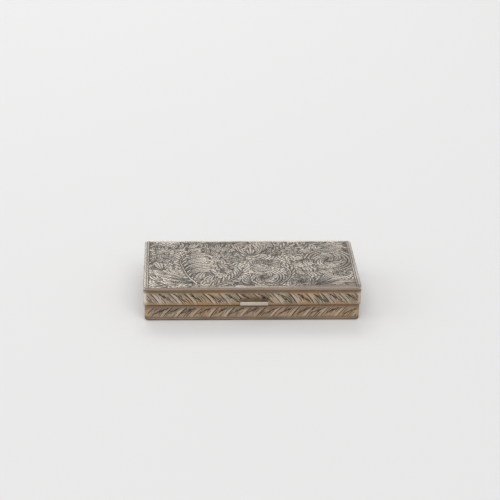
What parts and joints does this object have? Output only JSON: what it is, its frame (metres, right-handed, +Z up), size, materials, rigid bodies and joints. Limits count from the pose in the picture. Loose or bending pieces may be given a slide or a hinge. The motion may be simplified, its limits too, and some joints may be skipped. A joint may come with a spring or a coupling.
{
  "type": "cigarette case",
  "caption": "Flat rectangular silver case with engraved lid and walls, a knuckle hinge along the back and a thumbpiece at the front, for carrying cigarettes.",
  "frame": {"origin": "centre of the underside, on the plane the case rests on", "axes": "+X along the long side, +Y from the thumbpiece to the hinge, +Z up through the lid"},
  "size_m": [0.084, 0.0449, 0.0146],
  "materials": {
    "engraved_silver": "engraved and oxidised silver",
    "worn_gilt": "tarnished gilt silver, engraved",
    "inside_gilt": "satin gilt",
    "polished_silver": "hand-worn polished silver",
    "pin_steel": "drawn wire"
  },
  "bodies": {
    "base": {"base_plate": "worn_gilt", "base_wall": "worn_gilt", "base_liner": "inside_gilt", "snap_bead": "inside_gilt", "base_hinge_bearer": "inside_gilt", "base_knuckle_1": "worn_gilt", "base_knuckle_2": "worn_gilt", "base_knuckle_3": "worn_gilt", "base_knuckle_4": "worn_gilt", "base_knuckle_5": "worn_gilt", "hinge_pin": "pin_steel", "pin_plug_left": "worn_gilt", "pin_plug_right": "worn_gilt"},
    "lid": {"lid_plate": "engraved_silver", "lid_wall": "worn_gilt", "lid_hinge_bearer": "inside_gilt", "thumbpiece": "polished_silver", "lid_knuckle_1": "worn_gilt", "lid_knuckle_2": "worn_gilt", "lid_knuckle_3": "worn_gilt", "lid_knuckle_4": "worn_gilt"}
  },
  "joints": [
    {"name": "lid_hinge", "type": "hinge", "parent": "base", "child": "lid", "pos_m": [0, 0.0202, 0.00675], "axis": [-1, 0, 0], "range_deg": [0, 120]}
  ]
}
